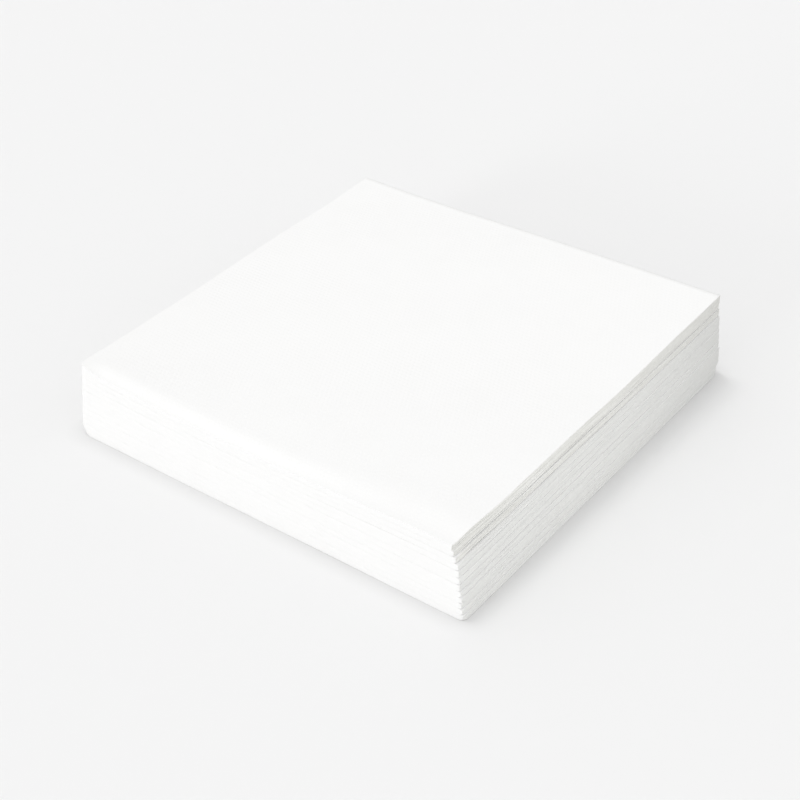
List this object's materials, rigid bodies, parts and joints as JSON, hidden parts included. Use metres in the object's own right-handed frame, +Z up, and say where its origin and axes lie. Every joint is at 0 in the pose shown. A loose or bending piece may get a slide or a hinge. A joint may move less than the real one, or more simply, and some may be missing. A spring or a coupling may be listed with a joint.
{
  "type": "stack of paper napkins",
  "caption": "Square stack of white, dot-embossed paper napkins, each folded into quarters, with folds along the front and left and soft cut edges along the right and back.",
  "frame": {"origin": "underside of the lowest napkin, under its middle", "axes": "+Z up through the stack; the second folds face -Y, the first folds -X, the cut edges +X and +Y"},
  "size_m": [0.2026, 0.2025, 0.0401],
  "materials": {
    "tissue": "matte"
  },
  "bodies": {
    "root": {"napkin_01": "tissue", "napkin_02": "tissue", "napkin_03": "tissue", "napkin_04": "tissue", "napkin_05": "tissue", "napkin_06": "tissue", "napkin_07": "tissue", "napkin_08": "tissue", "napkin_09": "tissue", "napkin_10": "tissue", "napkin_11": "tissue", "napkin_12": "tissue"}
  },
  "joints": []
}
